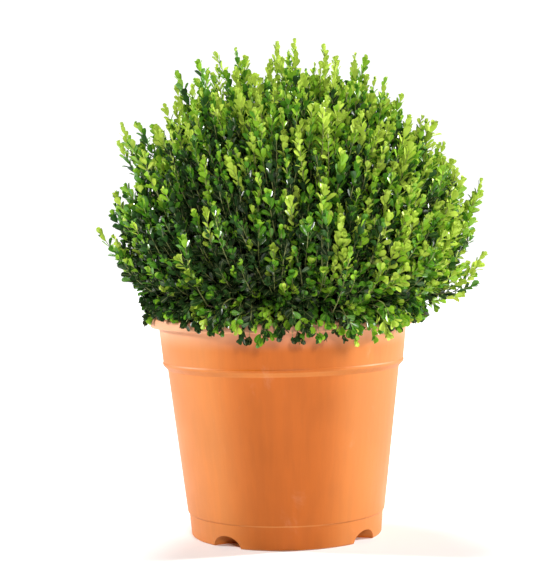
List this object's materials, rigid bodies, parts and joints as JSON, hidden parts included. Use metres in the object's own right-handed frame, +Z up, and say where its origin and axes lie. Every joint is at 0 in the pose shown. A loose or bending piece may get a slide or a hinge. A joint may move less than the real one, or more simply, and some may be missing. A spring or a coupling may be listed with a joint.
{
  "type": "potted ball boxwood",
  "caption": "Rounded evergreen boxwood bush on a short stem, with upright shoots of small oval leaves, in a tapered plastic nursery pot.",
  "frame": {"origin": "centre of the pot's flat underside, on its own axis", "axes": "+Z up along the pot's axis, -Y towards the front, +X to the right of someone who looks at the front"},
  "size_m": [0.4175, 0.3973, 0.5246],
  "materials": {
    "terracotta_plastic": "injection-moulded plastic in a warm terracotta orange, satin",
    "potting_soil": "dark brown crumbly potting soil, matt",
    "bark": "light grey-brown fissured boxwood bark, matt",
    "boxwood_leaf": "small leathery leaves, mid green with bright yellow-green young tips, semi-gloss"
  },
  "bodies": {
    "root": {"pot": "terracotta_plastic", "soil": "potting_soil", "stem": "bark", "bough_skirt_1": "bark", "bough_skirt_2": "bark", "bough_skirt_3": "bark", "bough_skirt_4": "bark", "bough_skirt_5": "bark", "bough_skirt_6": "bark", "bough_skirt_7": "bark", "bough_shoulder_1": "bark", "bough_shoulder_2": "bark", "bough_shoulder_3": "bark", "bough_shoulder_4": "bark", "bough_shoulder_5": "bark", "foliage_skirt_1": "boxwood_leaf", "foliage_skirt_2": "boxwood_leaf", "foliage_skirt_3": "boxwood_leaf", "foliage_skirt_4": "boxwood_leaf", "foliage_skirt_5": "boxwood_leaf", "foliage_skirt_6": "boxwood_leaf", "foliage_skirt_7": "boxwood_leaf", "foliage_shoulder_1": "boxwood_leaf", "foliage_shoulder_2": "boxwood_leaf", "foliage_shoulder_3": "boxwood_leaf", "foliage_shoulder_4": "boxwood_leaf", "foliage_shoulder_5": "boxwood_leaf", "foliage_crown": "boxwood_leaf"}
  },
  "joints": []
}
